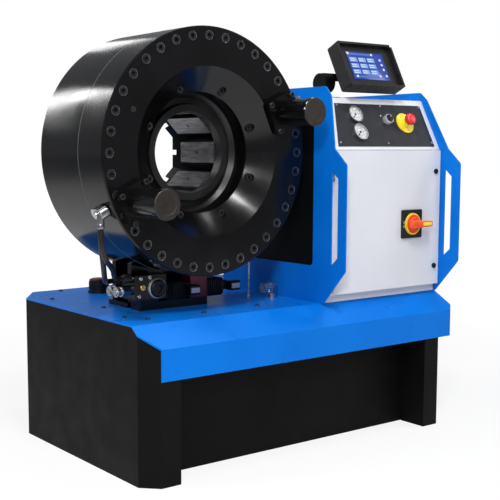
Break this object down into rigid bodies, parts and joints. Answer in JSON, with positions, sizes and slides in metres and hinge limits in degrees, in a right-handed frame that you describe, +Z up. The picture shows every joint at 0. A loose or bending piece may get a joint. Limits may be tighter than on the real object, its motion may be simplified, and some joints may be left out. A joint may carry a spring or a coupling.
{
  "type": "hose crimping machine",
  "caption": "Industrial hose crimper: round hydraulic head with radial master dies on a floor pedestal, with a control cabinet, hinged door, gauges, stop button and tilting display.",
  "frame": {"origin": "On the floor, in the middle of the pedestal's base plate.", "axes": "+Z up, +Y from the operator's side into the machine along the crimping head's axis, +X to the right as the operator faces the head."},
  "size_m": [1.3998, 0.94, 1.37],
  "materials": {
    "black_paint": "satin black powder coat",
    "blue_paint": "gloss blue paint",
    "white_paint": "gloss white paint",
    "black_oxide": "turned steel with gloss black oxide",
    "bright_steel": "turned and ground steel",
    "die_steel": "ground tool steel",
    "screw_steel": "blackened screws",
    "zinc": "zinc plate",
    "hose_rubber": "smooth black rubber",
    "seal_rubber": "black nitrile rubber",
    "black_plastic": "matte black plastic",
    "gloss_black": "glossy black plastic",
    "screen": "lit screen",
    "yellow_plastic": "yellow plastic",
    "red_plastic": "red plastic",
    "red_handle": "red plastic",
    "valve_paint": "dark red enamel",
    "gauge_face": "stainless case with white dial",
    "motor_paint": "grey enamel",
    "module_plastic": "light grey plastic"
  },
  "bodies": {
    "machine": {"base_left_side": "black_paint", "base_right_side": "black_paint", "base_front_panel": "black_paint", "base_rear_panel": "black_paint", "base_floor_plate": "black_paint", "support_frame": "black_paint", "oil_tank": "black_paint", "pump_motor": "motor_paint", "hydraulic_pump": "motor_paint", "tray_cover": "blue_paint", "filler_breather": "black_plastic", "head_stand": "black_paint", "front_flange": "black_oxide", "flange_screws": "screw_steel", "rear_housing": "black_oxide", "rear_retainer": "black_oxide", "die_guide_ring": "bright_steel", "guide_ring_screws": "screw_steel", "return_cylinders": "black_oxide", "valve_manifold": "black_oxide", "directional_valve": "valve_paint", "solenoids": "black_plastic", "hydraulic_fittings": "zinc", "return_hose": "hose_rubber", "pressure_hose": "hose_rubber", "cabinet_left_plate": "blue_paint", "cabinet_right_plate": "blue_paint", "left_vent_panel": "black_paint", "cabinet_rear_panel": "black_paint", "control_cover": "white_paint", "control_panel": "gloss_black", "pressure_gauges": "gauge_face", "emergency_stop_collar": "yellow_plastic", "door_hinges": "zinc", "display_bracket": "black_paint", "electrical_panel": "module_plastic", "cable_gland": "black_plastic"},
    "piston": {"piston": "bright_steel", "piston_seal": "seal_rubber", "return_rods": "bright_steel"},
    "die_1": {"master_die_1": "die_steel"},
    "die_2": {"master_die_2": "die_steel"},
    "die_3": {"master_die_3": "die_steel"},
    "die_4": {"master_die_4": "die_steel"},
    "die_5": {"master_die_5": "die_steel"},
    "die_6": {"master_die_6": "die_steel"},
    "die_7": {"master_die_7": "die_steel"},
    "die_8": {"master_die_8": "die_steel"},
    "door": {"front_door": "white_paint", "main_switch_plate": "yellow_plastic"},
    "latch_lower": {"door_latch_lower": "black_plastic"},
    "latch_upper": {"door_latch_upper": "black_plastic"},
    "switch_handle": {"main_switch_handle": "red_handle"},
    "selector": {"selector_knob": "black_plastic"},
    "stop_button": {"emergency_stop_button": "red_plastic"},
    "needle_upper": {"gauge_needle_upper": "gloss_black"},
    "needle_lower": {"gauge_needle_lower": "gloss_black"},
    "arm": {"display_arm": "black_paint"},
    "display": {"display_housing": "gloss_black", "display_screen": "screen"}
  },
  "joints": [
    {"name": "piston_slide", "type": "slide", "parent": "machine", "child": "piston", "axis": [0, -1, 0], "range_m": [0, 0.0692]},
    {"name": "die_1_slide", "type": "slide", "parent": "machine", "child": "die_1", "axis": [-1, 0, 0], "range_m": [0, 0.04]},
    {"name": "die_2_slide", "type": "slide", "parent": "machine", "child": "die_2", "axis": [-0.7071, 0, -0.7071], "range_m": [0, 0.04]},
    {"name": "die_3_slide", "type": "slide", "parent": "machine", "child": "die_3", "axis": [0, 0, -1], "range_m": [0, 0.04]},
    {"name": "die_4_slide", "type": "slide", "parent": "machine", "child": "die_4", "axis": [0.7071, 0, -0.7071], "range_m": [0, 0.04]},
    {"name": "die_5_slide", "type": "slide", "parent": "machine", "child": "die_5", "axis": [1, 0, 0], "range_m": [0, 0.04]},
    {"name": "die_6_slide", "type": "slide", "parent": "machine", "child": "die_6", "axis": [0.7071, 0, 0.7071], "range_m": [0, 0.04]},
    {"name": "die_7_slide", "type": "slide", "parent": "machine", "child": "die_7", "axis": [0, 0, 1], "range_m": [0, 0.04]},
    {"name": "die_8_slide", "type": "slide", "parent": "machine", "child": "die_8", "axis": [-0.7071, 0, 0.7071], "range_m": [0, 0.04]},
    {"name": "door_hinge", "type": "hinge", "parent": "machine", "child": "door", "pos_m": [0.111, -0.4073, 0.75], "axis": [0, 0, -1], "range_deg": [0, 90]},
    {"name": "latch_lower_turn", "type": "hinge", "parent": "door", "child": "latch_lower", "pos_m": [0.621, -0.4, 0.575], "axis": [0, -1, 0], "range_deg": [0, 90]},
    {"name": "latch_upper_turn", "type": "hinge", "parent": "door", "child": "latch_upper", "pos_m": [0.621, -0.4, 0.916], "axis": [0, -1, 0], "range_deg": [0, 90]},
    {"name": "main_switch_turn", "type": "hinge", "parent": "door", "child": "switch_handle", "pos_m": [0.497, -0.4, 0.732], "axis": [0, -1, 0], "range_deg": [0, 90]},
    {"name": "selector_turn", "type": "hinge", "parent": "machine", "child": "selector", "pos_m": [0.427, -0.34054, 1.09442], "axis": [0, 0.8829, -0.4695], "range_deg": [-45, 45]},
    {"name": "stop_push", "type": "slide", "parent": "machine", "child": "stop_button", "axis": [0, 0.8829, -0.4695], "range_m": [0, 0.004], "stiffness_N_per_m": 1500},
    {"name": "needle_upper_turn", "type": "hinge", "parent": "machine", "child": "needle_upper", "pos_m": [0.28, -0.33115, 1.11207], "axis": [0, 0.8829, -0.4695], "range_deg": [0, 270]},
    {"name": "needle_lower_turn", "type": "hinge", "parent": "machine", "child": "needle_lower", "pos_m": [0.274, -0.36354, 1.05115], "axis": [0, 0.8829, -0.4695], "range_deg": [0, 270]},
    {"name": "display_swivel", "type": "hinge", "parent": "machine", "child": "arm", "pos_m": [0.285, -0.17, 1.2], "axis": [0, 0, 1], "range_deg": [-30, 30]},
    {"name": "display_tilt", "type": "hinge", "parent": "arm", "child": "display", "pos_m": [0.34, -0.22949, 1.24906], "axis": [1, 0, 0], "range_deg": [-25, 15]}
  ],
  "couplings": [
    {"joint": "die_1_slide", "follows": "piston_slide", "ratio": 0.57735},
    {"joint": "die_2_slide", "follows": "piston_slide", "ratio": 0.57735},
    {"joint": "die_3_slide", "follows": "piston_slide", "ratio": 0.57735},
    {"joint": "die_4_slide", "follows": "piston_slide", "ratio": 0.57735},
    {"joint": "die_5_slide", "follows": "piston_slide", "ratio": 0.57735},
    {"joint": "die_6_slide", "follows": "piston_slide", "ratio": 0.57735},
    {"joint": "die_7_slide", "follows": "piston_slide", "ratio": 0.57735},
    {"joint": "die_8_slide", "follows": "piston_slide", "ratio": 0.57735}
  ]
}
